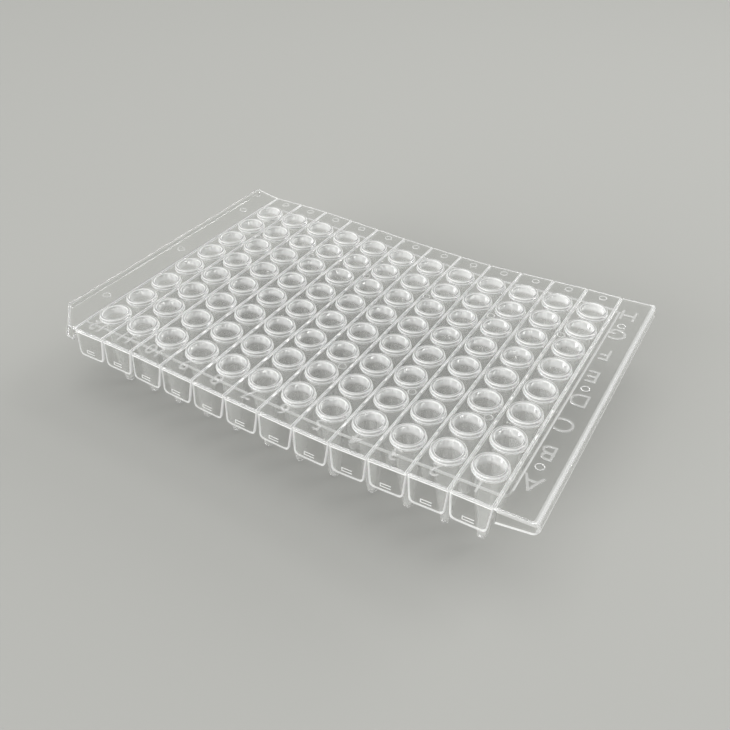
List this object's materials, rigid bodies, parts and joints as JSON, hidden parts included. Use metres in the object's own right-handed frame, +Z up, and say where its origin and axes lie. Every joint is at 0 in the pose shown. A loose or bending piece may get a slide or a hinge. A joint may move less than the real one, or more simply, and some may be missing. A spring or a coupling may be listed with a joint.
{
  "type": "well plate",
  "caption": "Clear moulded plate with a grid of raised-rim conical tubes, tear lines between the columns, finger tabs along the front and turned-down end margins.",
  "frame": {"origin": "under the middle of the plate's overall box, on the surface that the lowest tube tips stand on", "axes": "+X along the rows towards column 1, +Y from row A to row H, +Z up"},
  "size_m": [0.126, 0.0836, 0.0232],
  "materials": {
    "clear_plastic": "clear, colourless, glossy as moulded"
  },
  "bodies": {
    "root": {"well_plate": "clear_plastic"}
  },
  "joints": []
}
